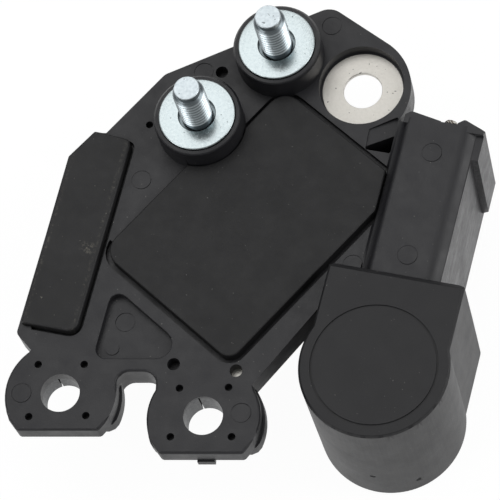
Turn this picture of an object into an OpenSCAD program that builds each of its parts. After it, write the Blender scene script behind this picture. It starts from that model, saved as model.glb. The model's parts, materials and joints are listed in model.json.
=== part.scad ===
// Alternator voltage regulator with a brush holder and a slip ring cap.
// X and Y lie in the mounting face and +Z points away from the alternator, along the studs.
// The origin is the axis of the right mounting ear where it meets the mounting face.
// +Y runs from the slip ring cap along the brush box.

/* [Base plate] */
// Thickness of the moulded base plate
plate_t = 5.2; // [4:0.1:8]
// Thickness of the lower skirt, which steps out a little at the ears
skirt_t = 2.2; // [1.5:0.1:3]
// How far the skirt steps out at the ears
skirt_step = 0.35; // [0.1:0.05:0.6]
// Left side of the plate
plate_left_x = -32.2; // [-36:0.1:-30]
// Foot of the plate's left side
plate_left_y = 7.4; // [6:0.1:8]
// Corner radius at the top of the plate
plate_top_r = 3; // [1:0.1:5]

/* [Mounting ears] */
// Distance between the two ear holes along the ears' common edge
ear_pitch = 22.43; // [21:0.1:25]
// How much further up the left ear hole lies
ear_rise = 3.74; // [2:0.1:6]
// Angle of the ears' straight edges to the X axis
ear_angle = 11.3; // [0:0.1:20]
// Outer radius of an ear
ear_r = 8.75; // [8:0.05:9]
// Distance from an ear hole to the ear's straight edge
ear_flat = 6.05; // [5.5:0.05:7]
// Set-back of the skirt below the straight edge
skirt_setback = 1.6; // [0.3:0.1:2]
// Corner radius of the skirt below the straight edge
skirt_corner_r = 2.2; // [1:0.1:4]
// Bore of the rolled steel ear bushings, for an M6 bolt
bushing_r = 3.07; // [2.5:0.01:3.3]
// Wall of the rolled steel ear bushings
bushing_wall = 1; // [0.6:0.1:1.2]
// Depth of the right bushing below the top face
right_bushing_drop = 0.3; // [0.1:0.1:1]
// Depth of the left bushing below the top face
left_bushing_drop = 1.8; // [0.3:0.1:2]
// Width of the split in a rolled bushing
bushing_split = 0.15; // [0.1:0.05:0.4]
// Height of the slot between the ears, from the right ear hole
slot_top = 7.25; // [6:0.05:7.3]
// Corner radius of the slot between the ears
slot_r = 2; // [1:0.1:2.5]

/* [Lids] */
// How far both lids stand above the plate
lid_proud = 1; // [0.5:0.1:1.5]
// Thickness of both lids
lid_t = 2; // [1.6:0.1:2.2]
// Width of the electronics lid
lid_w = 28.05; // [26:0.05:28.5]
// Length of the electronics lid
lid_l = 38.6; // [34:0.1:39]
// Middle of the electronics lid, across
lid_x = -0.65; // [-1:0.05:0]
// Middle of the electronics lid, along
lid_y = 32.75; // [32:0.05:34]
// Turn of the electronics lid
lid_angle = -29.5; // [-32:0.5:-27]
// Step in the lid's edge beside the left stud
lid_jog = 2.65; // [2:0.05:4]
// Width of the sealing groove round the electronics lid
lid_groove = 0.85; // [0.4:0.05:1]
// Width of the sealing groove beside the side lid
side_groove = 0.55; // [0.3:0.05:0.8]
// Width of the side lid
side_lid_w = 9.3; // [8:0.1:9.5]
// Foot of the side lid
side_lid_y = 9; // [8.5:0.1:11]
// Width of the ledge that a lid rests on
ledge_w = 1.9; // [1.4:0.1:2.4]

/* [Studs] */
// Left stud, across
stud_1_x = -12.5; // [-14:0.05:-12]
// Left stud, along
stud_1_y = 46.7; // [46:0.05:48]
// Right stud, across
stud_2_x = -3.1; // [-4:0.05:-2]
// Right stud, along
stud_2_y = 60.8; // [60:0.05:61.5]
// Radius of the M5 stud thread
stud_r = 2.5; // [2:0.05:2.6]
// Free length of a stud above its flange
stud_l = 9.3; // [6:0.1:14]
// Radius of the stud flange
flange_r = 6.05; // [5:0.05:6.2]
// Thickness of the stud flange
flange_t = 1.2; // [0.8:0.1:1.6]
// How far the flange stands above its boss
flange_proud = 0.4; // [0.2:0.1:0.6]
// Radius of a stud boss
boss_r = 7; // [6.8:0.05:7.2]
// Height of a stud boss above the plate
boss_h = 4.4; // [3:0.1:6]

/* [Ring terminal] */
// Ring terminal, across
ring_x = 10.7; // [10:0.05:11]
// Ring terminal, along
ring_y = 58.3; // [58:0.05:59]
// Hole of the ring terminal, for an M6 bolt
ring_hole_r = 3.07; // [2.5:0.01:3.3]
// Outer radius of the ring terminal
ring_r = 6.45; // [6:0.05:6.6]
// Thickness of all stamped strips
strip_t = 0.8; // [0.6:0.1:1]
// Width of the stamped strips
strip_w = 3.2; // [2.4:0.1:3.6]
// Depth of the ring terminal's top below the plate's top
ring_drop = 2; // [1.6:0.1:2.2]
// Radius of the plate's outline round the ring terminal
ring_land_r = 9.75; // [9:0.05:10]

/* [Brush box] */
// Brush plane, across
brush_x = 24.5; // [24:0.1:25]
// Height of the brush box above the plate
box_rise = 2.5; // [1.5:0.1:3]
// Depth of the brush box below the plate's top
box_depth = 20.4; // [20.3:0.1:24]
// Width of the flat top of the brush box
box_flat_w = 9.8; // [8:0.1:10]
// Outer width of the brush box
box_w = 12.7; // [12:0.1:13.5]
// End of the brush box
box_end_y = 53.2; // [53:0.1:53.6]
// Mouth of the brush box inside the cap
box_mouth_y = 21.6; // [21:0.1:22]
// Length of the wider flange at the end of the box
end_flange_l = 5.1; // [3:0.1:6]
// How far that flange stands out
end_flange_step = 1.1; // [0.5:0.1:1.5]

/* [Brushes] */
// Width of a carbon brush
brush_w = 5; // [4.5:0.1:5.5]
// Height of a carbon brush
brush_h = 8; // [7:0.1:8.2]
// Length of a carbon brush
brush_l = 18; // [14:0.5:20]
// Distance between the two brushes
brush_pitch = 9.6; // [9.5:0.1:10]
// Play of a brush on each side of its channel
brush_play = 0.1; // [0.05:0.01:0.15]
// How far a free brush reaches past the mouth of the box
brush_reach = 9; // [7:0.5:10]
// Outer radius of a brush spring
spring_r = 2.1; // [1.8:0.1:2.3]
// Wire radius of a brush spring
spring_wire_r = 0.22; // [0.15:0.01:0.3]
// Number of turns of a brush spring
spring_turns = 9; // [6:1:11]
// Radius of a braided brush lead
lead_r = 0.4; // [0.3:0.05:0.6]

/* [Slip ring cap] */
// Middle of the cap, along
cap_y = 11.5; // [11:0.1:12]
// Outer radius of the cap at its top
cap_r = 11.5; // [11:0.05:11.8]
// How much wider the cap is at its rim
cap_draft = 0.05; // [0:0.05:0.3]
// Height of the cap's top above the plate
cap_rise = 4.2; // [3.5:0.1:6]
// Overall height of the cap
cap_h = 25.7; // [25.6:0.1:30]
// Radius of the slip ring space
cap_bore_r = 9.7; // [9:0.05:9.8]
// Thickness of the cap's top
cap_top_t = 1.6; // [1.2:0.1:1.8]
// Width of the square neck
neck_w = 21.2; // [20.6:0.1:21.8]
// End of the square neck
neck_end_y = 26.8; // [26:0.1:28]
// Bevel at the end of the neck
neck_bevel = 0.9; // [0.5:0.1:1.2]

/* [Hidden] */
$fn = 64;

// Small overlap that a cut runs past a face
eps = 0.01;
// Clearance where a piece drops into its seat
seat = 0.1;
// Space between pieces that move past each other
move_gap = 0.3;

// Ears and the slot between them
ear_1 = [-ear_pitch * cos(ear_angle) - ear_rise * sin(ear_angle),
    ear_rise * cos(ear_angle) - ear_pitch * sin(ear_angle)];
ear_corner_r = 0.8;
slot_left = -13.85;
slot_right = -7.65;

// Lids
lid_z = plate_t + lid_proud - lid_t;
lid_top_z = plate_t + lid_proud;
lid_corner_r = 3;
lid_foot_r = 2;
lid_jog_v = 6.2;
side_lid_x = plate_left_x + 0.15;
side_lid_top_y = 42.55;
pocket_floor_z = 0.8;
sink_t = 1.6;
side_floor_z = 1.2;

// Studs and their bosses
studs = [[stud_1_x, stud_1_y], [stud_2_x, stud_2_y]];
boss_top_z = plate_t + boss_h;
flange_top_z = boss_top_z + flange_proud;
flange_z = flange_top_z - flange_t;
boss_chamfer = 0.35;
stud_chamfer = 0.45;
stud_foot_z = 1.6;
stud_collar_r = 3.2;
stud_collar_z = 4.2;
root_groove_r = 2.95;
root_groove_d = 0.5;
root_neck_r = 2.1;
thread_runout = 0.15;

// Ring terminal and strips
ring_top_z = plate_t - ring_drop;
strip_z = ring_top_z - strip_t;
ring_recess_r = ring_r + 0.3;
ring_window_r = 5;
ring_land = [9, 57.3];

// Brush box
box_top_z = plate_t + box_rise;
box_foot_z = plate_t - box_depth;
box_edge_drop = 0.9;
box_clear_x = 18.2;
cove_r = box_rise - 0.8;
shoulder_r = 3.5;
flange_foot_z = -12.7;
hump_z = 4.7;
web_w = 5.6;
web_drop = 2.6;
pocket_depth = 6.8;
channel_w = brush_w + 2 * brush_play;
channel_h = brush_h + 2 * brush_play;
brush_mid_z = box_foot_z + 10.4;
upper_z = brush_mid_z + brush_pitch / 2;
lower_z = brush_mid_z - brush_pitch / 2;
cover_t = 1.2;
brush_strip_w = 1.6;
upper_strip_start = [lid_x + 7.15, lid_y + lid_l / 4];
lower_strip_start = [lid_x + 11.65, lid_y + 5.85];
upper_strip_turn_y = box_end_y - 3.2;
left_stud_strip_end = [lid_x - 6.55, lid_y + lid_l / 2 - 10.85];
right_stud_strip_end = [lid_x - 0.75, lid_y + lid_l / 2 - 4.55];
weld_x = brush_x - 4.8;
lead_y = box_end_y + lead_r + 0.15;
cover_y = box_end_y - 2;
cover_w = channel_w + 2.4;
cover_h = brush_pitch + channel_h + 1.4;
brush_tip_y = box_mouth_y - brush_reach;
brush_tail_y = brush_tip_y + brush_l;

// Cap
cap_top_z = plate_t + cap_rise;
cap_foot_z = cap_top_z - cap_h;
cap_groove_r = 9.4;
cap_groove_w = 0.35;
cap_groove_d = 0.2;
cap_chamfer = 0.35;
neck_edge_r = 1.5;
neck_flare = 0.35;
neck_slope = 1;

// Blind pin holes round the ears, and the three larger ones that reach the strips
pin_holes = [[-27.4, 3.1], [-20.3, 4.5], [-26.5, -5.4], [-17.8, -3.5],
    [-4.7, 3.6], [2.7, 5.2], [-4.05, -4.25], [5.15, -2.4], [-20.9, 45.6]];
gauge_holes = [[-6.6, 7.2], [3.15, 8.05], [-11.8, 56.6]];
pin_hole_r = 0.6;
pin_hole_d = 1.5;
gauge_hole_r = 1;

// The shallow triangular recess below the electronics lid
triangle = [[-19.3, 5.7, 1.7], [-3.3, 8.8, 2.4], [-19.3, 17.95, 1.6]];
triangle_d = 1.2;
peg = [-17, 8.2];
peg_r = 1.05;

// Steel, copper and plastic colours
black_plastic = "#2b2b2d";
lid_black = "#232325";
zinc = "#cfd6d9";
tin = "#c9c7c2";
brass = "#b8a06a";
copper = "#b5703f";
carbon = "#3a3a3c";

function unit(v) = v / norm(v);

// A closed outline from corners [x, y, radius], with each corner rounded by an arc
function rounded(c, n = 6) = [for (i = [0:len(c) - 1])
    let (
        m = len(c),
        p = [c[i][0], c[i][1]],
        a = unit([c[(i + m - 1) % m][0], c[(i + m - 1) % m][1]] - p),
        b = unit([c[(i + 1) % m][0], c[(i + 1) % m][1]] - p),
        r = c[i][2],
        half = acos(a * b) / 2,
        o = p + unit(a + b) * r / sin(half),
        s = p + a * r / tan(half) - o,
        turn = (a[0] * b[1] - a[1] * b[0] > 0 ? -1 : 1) * (180 - 2 * half)
    )
    for (k = [0:(r > 0 ? n : 0)])
        r > 0 ? o + [s[0] * cos(k * turn / n) - s[1] * sin(k * turn / n),
            s[0] * sin(k * turn / n) + s[1] * cos(k * turn / n)] : p];

module tube(r_out, r_in, h) {
    difference() {
        cylinder(r = r_out, h = h);
        translate([0, 0, -eps]) cylinder(r = r_in, h = h + 2 * eps);
    }
}

// A round ear with a straight edge. Two flats break the corner between them, tangent to its radius
module ear(r, flat, corner) {
    o = [sqrt(pow(r - corner, 2) - pow(flat - corner, 2)), corner - flat];
    function on(a, d) = o + d * [cos(a), sin(a)];
    difference() {
        circle(r = r, $fn = 96);
        rotate(ear_angle) {
            translate([-2 * r, -flat - 4 * r]) square([4 * r, 4 * r]);
            for (side = [0, 1]) mirror([side, 0]) polygon([
                on(-66, corner) + 3 * [sin(-66), -cos(-66)], on(-52, corner / cos(14)),
                on(-38, corner) + 3 * [-sin(-38), cos(-38)], [r + 4, -flat - 4]]);
        }
    }
}

module ears(r, flat, corner) {
    ear(r, flat, corner);
    translate(ear_1) ear(r, flat, corner);
}

module ear_slot() {
    rotate(ear_angle) polygon(rounded([[slot_left, slot_top, slot_r], [slot_right, slot_top, slot_r],
        [slot_right, -2, 0], [slot_left, -2, 0]]));
}

// The skirt is set in only beside the right ear, on the edge that runs to the slip ring cap
module plate_outline(set_in) {
    polygon(rounded([
        [plate_left_x, plate_left_y, 1],
        [plate_left_x, 37.6, 0.8],
        [-29.2, 42.7, 0.5],
        [-27.4, 42.95, 0.3],
        [-20.75, 54.6, 2],
        [2.7, 70.9, plate_top_r],
        [ring_land[0] + ring_land_r * cos(63.7), ring_land[1] + ring_land_r * sin(63.7), 0],
        [ring_land[0] + 4, ring_land[1] - 2, 0],
        [brush_x - box_w / 2 + 0.3, 53, 0],
        [brush_x - box_w / 2 + 0.3, neck_end_y + 0.2, 0],
        [brush_x - neck_w / 2 - move_gap, neck_end_y + 0.2, 0],
        [brush_x - neck_w / 2 - move_gap, 21.4, 0.4],
        [6.2 - set_in * 0.9, 6.4 + set_in * 0.5, 1.2],
        [0, 0, 0],
        [ear_1[0], ear_1[1], 0],
        [-29.2, 5.2, 0]
    ]));
    translate(ring_land) circle(r = ring_land_r, $fn = 96);
}

module plate_layer(set_in) {
    difference() {
        plate_outline(set_in);
        ear_slot();
    }
}

module plate() {
    translate([0, 0, skirt_t]) linear_extrude(plate_t - skirt_t) {
        plate_layer(0);
        ears(ear_r, ear_flat, ear_corner_r);
    }
    linear_extrude(skirt_t) {
        plate_layer(skirt_step);
        ears(ear_r + skirt_step, ear_flat - skirt_setback, skirt_corner_r);
    }
    rotate(ear_angle) translate([-1, -ear_flat - 0.3, skirt_t - 1.2]) cube([2.7, 2, 1.2]);
}

module lid_outline(grow = 0) {
    translate([lid_x, lid_y]) rotate(lid_angle) polygon(rounded([
        [-lid_w / 2 - grow, -lid_l / 2 - grow, lid_corner_r + grow],
        [lid_w / 2 + grow, -lid_l / 2 - grow, lid_foot_r + grow],
        [lid_w / 2 + grow, lid_l / 2 + grow, lid_corner_r + grow],
        [-lid_w / 2 + lid_jog - grow, lid_l / 2 + grow, lid_corner_r + grow],
        [-lid_w / 2 + lid_jog - grow, lid_jog_v + 1, 0],
        [-lid_w / 2 - grow, lid_jog_v - 1, 0]
    ]));
}

module clear_of_neighbours(gap) {
    difference() {
        children();
        for (s = studs) translate(s) circle(r = boss_r + gap, $fn = 96);
        translate([box_clear_x - gap, 0]) square([40, 80]);
    }
}

// Grown by the groove, the outline is the lid's seat, which stays narrow at the plate's left side
module side_lid_outline(grow = 0) {
    foot = side_lid_y - min(grow, seat);
    polygon(rounded(concat(
        [[side_lid_x + 0.2, foot, 0.6]],
        grow > 0 ? [[side_lid_x + 1.8, foot, 0], [side_lid_x + 2, side_lid_y - grow, 0]] : [],
        [[side_lid_x + side_lid_w + grow, side_lid_y - grow, 1.6 + grow],
        [side_lid_x + side_lid_w + grow, side_lid_top_y - 0.4, 1.2],
        [side_lid_x + 4.9, side_lid_top_y, 0.4],
        [side_lid_x + 3, side_lid_top_y, 0.4],
        [side_lid_x, 37.6, 0.8]]
    )));
}

module box_section() {
    top = box_top_z;
    half = box_w / 2;
    flat = box_flat_w / 2;
    left_foot = -flat - cove_r;
    cove = [for (k = [0:6]) let (a = 90 - 15 * k)
        [left_foot + cove_r * sin(a), plate_t + cove_r - cove_r * cos(a), 0]];
    polygon(rounded(concat(
        [[half, top - box_edge_drop, 0.3], [flat, top, shoulder_r], [-flat, top, box_rise - cove_r - 0.05]],
        cove,
        [[left_foot, plate_t - 1, 0], [-half, plate_t - 1, 0], [-half, box_foot_z, 0], [half, box_foot_z, 0]]
    )));
}

module along_box(y0, y1) {
    translate([brush_x, y1, 0]) rotate([90, 0, 0]) linear_extrude(y1 - y0) children();
}

module brush_box_solid() {
    along_box(box_mouth_y, neck_end_y + 0.2) intersection() {
        box_section();
        translate([-box_w / 2, box_foot_z]) square([box_w, 40]);
    }
    along_box(neck_end_y + 0.2, box_end_y) box_section();
    along_box(box_end_y - end_flange_l, box_end_y) polygon([
        [0, box_top_z - box_edge_drop], [0, flange_foot_z], [box_w / 2, flange_foot_z - end_flange_step],
        [box_w / 2 + end_flange_step, flange_foot_z],
        [box_w / 2 + end_flange_step, box_top_z - box_edge_drop]]);
    translate([brush_x, box_end_y, hump_z]) linear_extrude(box_top_z - hump_z - 0.1) {
        polygon(rounded([[-5.3, -1, 0], [0.5, -1, 0], [0.5, 0.15, 0.1],
            [-4.4, 1.05, 0.5], [-5.3, 0.35, 0.3]]));
        polygon(rounded([[3.1, -1, 0], [7.45, -1, 0], [7.45, -0.3, 0.4],
            [4.1, 1.05, 0.5], [3.1, 0.3, 0.3]]));
    }
}

module web() {
    translate([brush_x - box_w / 2 - web_w, 46.6, -web_drop]) cube([web_w + 1, 9, web_drop + 1]);
}

module web_pocket() {
    translate([0, 0, plate_t - pocket_depth]) linear_extrude(pocket_depth + 1)
        polygon(rounded([[13.9, 47.6, 0.3], [17.9, 47.6, 0.3], [17.9, 54.1, 0.3], [13.7, 51.1, 0.3]]));
}

// A stamped strip, each leg run on past its corner by half its width
module strip_path(points, w) {
    for (i = [0:len(points) - 2]) {
        d = points[i + 1] - points[i];
        translate(points[i]) rotate(atan2(d[1], d[0])) translate([0, -w / 2]) square([norm(d) + w / 2, w]);
    }
}

module brush_channel(z) {
    translate([brush_x - channel_w / 2, box_mouth_y - 1, z - channel_h / 2])
        cube([channel_w, cover_y - box_mouth_y + 1 + eps, channel_h]);
}

module strips() {
    ring_terminal();
    left_stud_strip();
    right_stud_strip();
    ground_strip();
    upper_brush_strip();
    lower_brush_strip();
}

module base_housing() color(black_plastic) {
    difference() {
        union() {
            plate();
            web();
            brush_box_solid();
            for (s = studs) translate([s[0], s[1], 0]) {
                cylinder(r = boss_r, h = boss_top_z - boss_chamfer, $fn = 96);
                translate([0, 0, boss_top_z - boss_chamfer])
                    cylinder(r1 = boss_r, r2 = boss_r - boss_chamfer, h = boss_chamfer, $fn = 96);
            }
            translate([peg[0], peg[1], plate_t - triangle_d - 1]) cylinder(r = peg_r, h = 1.15);
        }
        // Stud seats
        for (s = studs) translate([s[0], s[1], 0]) {
            translate([0, 0, flange_z]) cylinder(r = flange_r + seat, h = 10, $fn = 96);
            translate([0, 0, stud_foot_z]) cylinder(r = stud_collar_r, h = stud_collar_z - stud_foot_z);
            translate([0, 0, stud_foot_z]) cylinder(r = stud_r, h = 20);
        }
        // Ear bores
        translate([0, 0, -eps])
            cylinder(r = bushing_r + bushing_wall, h = plate_t - right_bushing_drop + eps);
        cylinder(r = bushing_r, h = plate_t + 1);
        translate([ear_1[0], ear_1[1], 0]) {
            translate([0, 0, -eps])
                cylinder(r = bushing_r + bushing_wall, h = plate_t - left_bushing_drop + eps);
            cylinder(r = bushing_r, h = plate_t + 1);
        }
        // Lid seats with their sealing grooves, and the pockets below them
        translate([0, 0, lid_z]) linear_extrude(10) clear_of_neighbours(0) lid_outline(lid_groove);
        translate([0, 0, lid_z]) linear_extrude(10) side_lid_outline(side_groove);
        translate([0, 0, pocket_floor_z]) linear_extrude(10)
            clear_of_neighbours(ledge_w - 0.5) lid_outline(-ledge_w);
        translate([0, 0, -eps]) linear_extrude(10)
            clear_of_neighbours(ledge_w + 1) lid_outline(-ledge_w - 1.5);
        side_pocket();
        // Ring terminal window, from both sides
        translate([ring_x, ring_y, ring_top_z - eps]) cylinder(r = ring_recess_r, h = 10, $fn = 96);
        translate([ring_x, ring_y, -eps]) cylinder(r = ring_window_r, h = 10);
        // Triangular recess
        difference() {
            translate([0, 0, plate_t - triangle_d]) linear_extrude(10) polygon(rounded(triangle));
            translate([peg[0], peg[1], plate_t - triangle_d - 1]) cylinder(r = peg_r, h = 1.15);
        }
        web_pocket();
        for (p = pin_holes) translate([p[0], p[1], plate_t - pin_hole_d]) cylinder(r = pin_hole_r, h = 10);
        for (p = gauge_holes) translate([p[0], p[1], ring_top_z]) cylinder(r = gauge_hole_r, h = 10);
        // Brush channels and the seat of their end cover
        brush_channel(upper_z);
        brush_channel(lower_z);
        translate([brush_x - cover_w / 2 - seat, cover_y, brush_mid_z - cover_h / 2 - seat])
            cube([cover_w + 2 * seat, 5, cover_h + 2 * seat]);
        strips();
        capacitor_legs();
    }
}

module side_pocket() {
    translate([side_lid_x + ledge_w - 0.5, side_lid_y + ledge_w, side_floor_z])
        linear_extrude(10) polygon(rounded([[0, 0, 1], [side_lid_w - 2 * ledge_w + 0.5, 0, 1],
            [side_lid_w - 2 * ledge_w + 0.5, 29, 1], [2.6, 29, 1], [0, 25.5, 1]]));
}

module electronics_lid() color(lid_black)
    translate([0, 0, lid_z]) linear_extrude(lid_t) clear_of_neighbours(seat) lid_outline();

module side_lid() color(lid_black)
    translate([0, 0, lid_z]) linear_extrude(lid_t) side_lid_outline();

module stud() {
    difference() {
        union() {
            translate([0, 0, stud_foot_z]) cylinder(r = stud_collar_r, h = stud_collar_z - stud_foot_z);
            translate([0, 0, stud_foot_z])
                cylinder(r = stud_r, h = flange_top_z + stud_l - stud_foot_z - stud_chamfer);
            translate([0, 0, flange_top_z + stud_l - stud_chamfer])
                cylinder(r1 = stud_r, r2 = stud_r - stud_chamfer, h = stud_chamfer);
            translate([0, 0, flange_z]) cylinder(r = flange_r, h = flange_t, $fn = 96);
        }
        translate([0, 0, flange_top_z - root_groove_d])
            tube(root_groove_r, root_neck_r, root_groove_d + thread_runout);
    }
}

module left_stud() color(zinc) translate([stud_1_x, stud_1_y, 0]) stud();

module right_stud() color(zinc) translate([stud_2_x, stud_2_y, 0]) stud();

module ring_terminal() color(tin) difference() {
    translate([0, 0, strip_z]) linear_extrude(strip_t) {
        translate([ring_x, ring_y]) circle(r = ring_r, $fn = 96);
        strip_path([[ring_x, ring_y], [6.6, 50.4], [4.6, 44]], strip_w);
    }
    translate([ring_x, ring_y, 0]) cylinder(r = ring_hole_r, h = 10);
}

module bushing(drop) difference() {
    tube(bushing_r + bushing_wall, bushing_r, plate_t - drop);
    rotate(118) translate([0, -bushing_split / 2, -1]) cube([10, bushing_split, 10]);
}

module left_ear_bushing() color(zinc) translate([ear_1[0], ear_1[1], 0]) bushing(left_bushing_drop);

module right_ear_bushing() color(zinc) bushing(right_bushing_drop);

// The neck is a square sleeve with bevelled top edges and rounded corners at its end
module neck() {
    half = neck_w / 2;
    intersection() {
        along_box(cap_y, neck_end_y) polygon([
            [-half - neck_flare, cap_foot_z], [half + neck_flare, cap_foot_z],
            [half, cap_top_z - cap_chamfer], [half - cap_chamfer, cap_top_z],
            [cap_chamfer - half, cap_top_z], [-half, cap_top_z - cap_chamfer]]);
        translate([brush_x + neck_w, 0, 0]) rotate([90, 0, -90]) linear_extrude(2 * neck_w)
            polygon([[-cap_y, cap_foot_z], [-cap_y, cap_top_z], [-neck_end_y + neck_bevel, cap_top_z],
                [-neck_end_y, cap_top_z - neck_bevel], [-neck_end_y + neck_slope, cap_foot_z]]);
        translate([brush_x, 0, cap_foot_z]) linear_extrude(cap_h) polygon(rounded([
            [-half - neck_flare, cap_y, 0], [half + neck_flare, cap_y, 0],
            [half + neck_flare, neck_end_y, neck_edge_r], [-half - neck_flare, neck_end_y, neck_edge_r]]));
    }
}

module slip_ring_cap() color(black_plastic) {
    difference() {
        union() {
            translate([brush_x, cap_y, cap_foot_z])
                cylinder(r1 = cap_r + cap_draft, r2 = cap_r, h = cap_h - cap_chamfer, $fn = 128);
            translate([brush_x, cap_y, cap_top_z - cap_chamfer])
                cylinder(r1 = cap_r, r2 = cap_r - cap_chamfer, h = cap_chamfer, $fn = 128);
            neck();
        }
        translate([brush_x, cap_y, cap_foot_z - eps])
            cylinder(r = cap_bore_r, h = cap_h - cap_top_t + eps, $fn = 128);
        translate([brush_x, cap_y, cap_top_z - cap_groove_d])
            tube(cap_groove_r + cap_groove_w, cap_groove_r, 1);
        along_box(box_mouth_y - 3, neck_end_y + 1) offset(delta = seat) polygon([
            [box_w / 2, box_top_z - box_edge_drop], [box_flat_w / 2, box_top_z], [-box_flat_w / 2, box_top_z],
            [-box_w / 2, box_top_z - box_edge_drop], [-box_w / 2, box_foot_z], [box_w / 2, box_foot_z]]);
    }
}

module brush_end_cover() color(lid_black) {
    difference() {
        translate([brush_x - cover_w / 2, cover_y, brush_mid_z - cover_h / 2])
            cube([cover_w, cover_t, cover_h]);
        for (z = [upper_z, lower_z]) translate([brush_x, cover_y - 1, z]) rotate([-90, 0, 0])
            cylinder(r = lead_r + seat, h = 5);
    }
}

module brush(z) {
    translate([brush_x - brush_w / 2, brush_tip_y, z - brush_h / 2]) cube([brush_w, brush_l, brush_h]);
}

module upper_brush() color(carbon) brush(upper_z);

module lower_brush() color(carbon) brush(lower_z);

// A coil spring from one tube swept round a helix, along +Y
module coil(y0, y1, r, wire_r, turns) {
    sides = 6;
    steps = 12 * turns;
    pitch = (y1 - y0 - 2 * wire_r) / turns;
    ring = [for (i = [0:steps]) let (a = 360 * i / steps * turns, y = y0 + wire_r + pitch * turns * i / steps)
        for (k = [0:sides - 1]) let (t = 360 * k / sides)
            [(r + wire_r * cos(t)) * cos(a), y + wire_r * sin(t), (r + wire_r * cos(t)) * sin(a)]];
    last = steps * sides;
    faces = concat(
        [[for (k = [0:sides - 1]) k]],
        [for (i = [0:steps - 1]) for (k = [0:sides - 1])
            let (a = i * sides + k, b = i * sides + (k + 1) % sides)
            [a, a + sides, b + sides]],
        [for (i = [0:steps - 1]) for (k = [0:sides - 1])
            let (a = i * sides + k, b = i * sides + (k + 1) % sides)
            [a, b + sides, b]],
        [[for (k = [sides - 1:-1:0]) last + k]]
    );
    polyhedron(points = ring, faces = faces, convexity = 10);
}

module brush_spring(z) {
    translate([brush_x, 0, z])
        coil(brush_tail_y + move_gap, cover_y, spring_r - spring_wire_r, spring_wire_r, spring_turns);
}

module upper_brush_spring() color(zinc) brush_spring(upper_z);

module lower_brush_spring() color(zinc) brush_spring(lower_z);

// A rod runs on past its far end by half its radius, so that the next one joins it
module rod(a, b, r) {
    d = b - a;
    translate(a) rotate([0, acos(d[2] / norm(d)), atan2(d[1], d[0])])
        cylinder(r = r, h = norm(d) + r / 2, $fn = 12);
}

module bent_wire(points, r) {
    for (i = [0:len(points) - 2]) rod(points[i], points[i + 1], r);
}

// Each lead runs from the tail of its brush through the end cover and is welded to a strip on the end face
module brush_lead(z, bends, weld_z) {
    start = [brush_x, brush_tail_y + move_gap, z];
    bent_wire(concat([start, [brush_x, cover_y + cover_t + 0.4, z]], bends), lead_r);
    translate([weld_x - 0.65, box_end_y, weld_z - 0.65]) cube([1.3, lead_r + 0.3, 1.3]);
}

module upper_brush_lead() color(copper) brush_lead(upper_z, [
    [brush_x + 2.55, lead_y, 3.3], [brush_x + 2.45, lead_y + 0.1, 6.4], [brush_x + 1.1, lead_y + 0.1, 6.4],
    [brush_x + 0.9, lead_y, 3.3], [weld_x, lead_y, strip_z + strip_t / 2]], strip_z + strip_t / 2);

module lower_brush_lead() color(copper) brush_lead(lower_z, [
    [brush_x - 0.8, lead_y, lower_z], [weld_x, lead_y, lower_z]], lower_z);

module upper_brush_strip() color(brass) translate([0, 0, strip_z]) linear_extrude(strip_t) {
    strip_path([upper_strip_start, [weld_x, upper_strip_start[1]], [weld_x, upper_strip_turn_y]],
        brush_strip_w);
    translate([weld_x - brush_strip_w / 2, upper_strip_turn_y])
        square([brush_strip_w, box_end_y - upper_strip_turn_y]);
}

module lower_brush_strip() color(brass) {
    y = lower_strip_start[1];
    foot_z = lower_z - brush_strip_w / 2;
    translate([0, 0, strip_z]) linear_extrude(strip_t)
        strip_path([lower_strip_start, [weld_x, y]], brush_strip_w);
    translate([weld_x - strip_t / 2, y - brush_strip_w / 2, foot_z])
        cube([strip_t, brush_strip_w, strip_z + strip_t / 2 - foot_z]);
    translate([weld_x - strip_t / 2, y, foot_z]) cube([strip_t, box_end_y - y, brush_strip_w]);
}

module left_stud_strip() color(brass) difference() {
    translate([0, 0, strip_z]) linear_extrude(strip_t) difference() {
        strip_path([studs[0], left_stud_strip_end], strip_w);
        translate(studs[0]) circle(r = stud_collar_r);
    }
}

module right_stud_strip() color(brass) difference() {
    translate([0, 0, strip_z]) linear_extrude(strip_t) difference() {
        strip_path([studs[1], right_stud_strip_end + [0.2, 3], right_stud_strip_end], strip_w);
        translate(studs[1]) circle(r = stud_collar_r);
    }
}

module ground_strip() color(brass)
    translate([0, 0, strip_z]) linear_extrude(strip_t) difference() {
        union() {
            circle(r = bushing_r + bushing_wall + 1.4);
            strip_path([[0, 0], [3.1, 8], [1.4, 14.6]], strip_w);
        }
        circle(r = bushing_r + bushing_wall);
    }

module heat_sink() color("#b9bcc0") {
    linear_extrude(pocket_floor_z) clear_of_neighbours(ledge_w + 1 + seat) lid_outline(-ledge_w - 1.5 - seat);
    translate([0, 0, pocket_floor_z]) linear_extrude(sink_t - pocket_floor_z)
        clear_of_neighbours(ledge_w - 0.5 + seat) lid_outline(-ledge_w - seat);
}

module on_circuit(u, v, size) {
    translate([lid_x, lid_y, 0]) rotate(lid_angle)
        translate([u - size[0] / 2, v - size[1] / 2, 0]) cube(size);
}

module circuit_substrate() color("#e6e4dc")
    translate([0, 0, sink_t]) on_circuit(0.7, -1.5, [19, 27, strip_z - sink_t]);

module regulator_chip() color("#1c1c1e") translate([0, 0, strip_z]) on_circuit(-3.5, -2, [4.4, 5.2, 1]);

module power_transistor() color("#1c1c1e") translate([0, 0, strip_z]) on_circuit(3.8, -3.5, [5.6, 6.4, 1.3]);

module freewheel_diode() color("#1c1c1e") translate([0, 0, strip_z]) on_circuit(3.6, 3.4, [3.4, 3.4, 1]);

module capacitor_legs() {
    for (y = [20, 27]) translate([side_lid_x + side_lid_w - ledge_w - 1.5, y, 3.4])
        rotate([0, 90, 0]) cylinder(r = 0.3, h = 8.5 + (y - 20) * 0.4, $fn = 24);
}

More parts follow.
